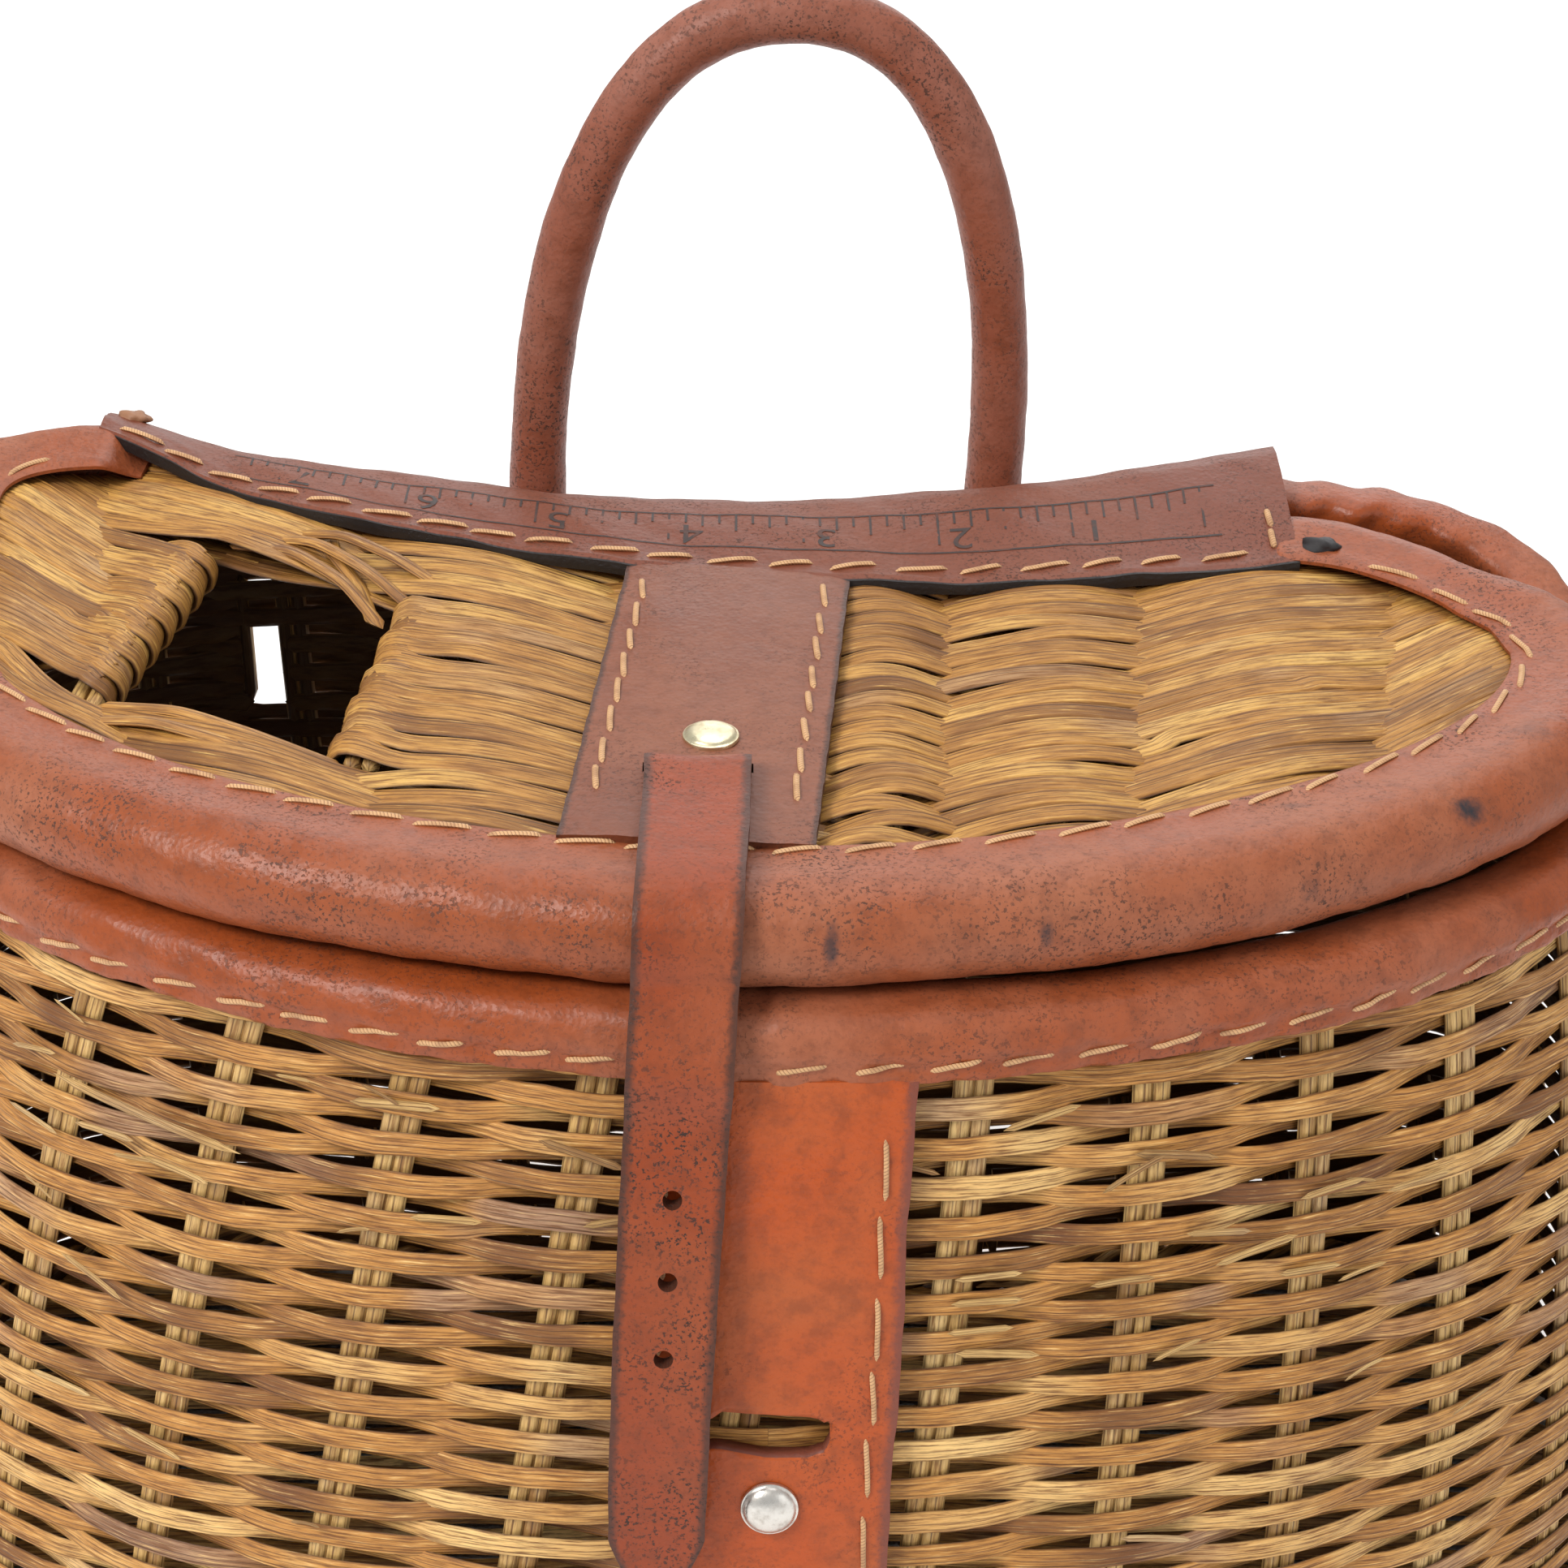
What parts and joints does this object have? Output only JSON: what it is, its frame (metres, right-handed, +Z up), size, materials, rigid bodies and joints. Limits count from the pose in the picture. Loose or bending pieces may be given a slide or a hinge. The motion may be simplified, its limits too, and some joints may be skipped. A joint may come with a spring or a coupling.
{
  "type": "fishing creel bag",
  "caption": "Woven willow fishing creel with a leather-bound lid, a square hole for fish, a closing strap, a rolled handle and a hinge strip with an inch scale.",
  "frame": {"origin": "middle of the base, on the surface that the creel stands on", "axes": "+Z up, the front with its strap faces -Y, +X to the right of someone facing the front"},
  "size_m": [0.368, 0.216, 0.3072],
  "materials": {
    "body_willow": "aged split willow, varnished, honey brown with grey patches",
    "lid_willow": "aged split willow, varnished, straw yellow",
    "rim_leather": "reddish tan leather, waxed, with dark stains",
    "panel_leather": "orange tan leather, waxed",
    "band_leather": "dusty red-brown leather, worn matt",
    "strap_leather": "red-brown leather with dark speckled edges",
    "handle_leather": "red-brown rolled leather, worn satin",
    "brass": "dull pale brass",
    "nickel": "dull nickel plate"
  },
  "bodies": {
    "root": {"basket_body": "body_willow", "body_rim": "rim_leather", "front_panel": "panel_leather", "front_stud": "nickel", "lid_wicker": "lid_willow", "lid_rim": "rim_leather", "lid_band": "band_leather", "lid_rivet": "brass", "hinge_strip": "band_leather", "closing_strap": "strap_leather", "carry_handle": "handle_leather", "handle_rivet_left": "nickel", "handle_rivet_right": "nickel"}
  },
  "joints": []
}
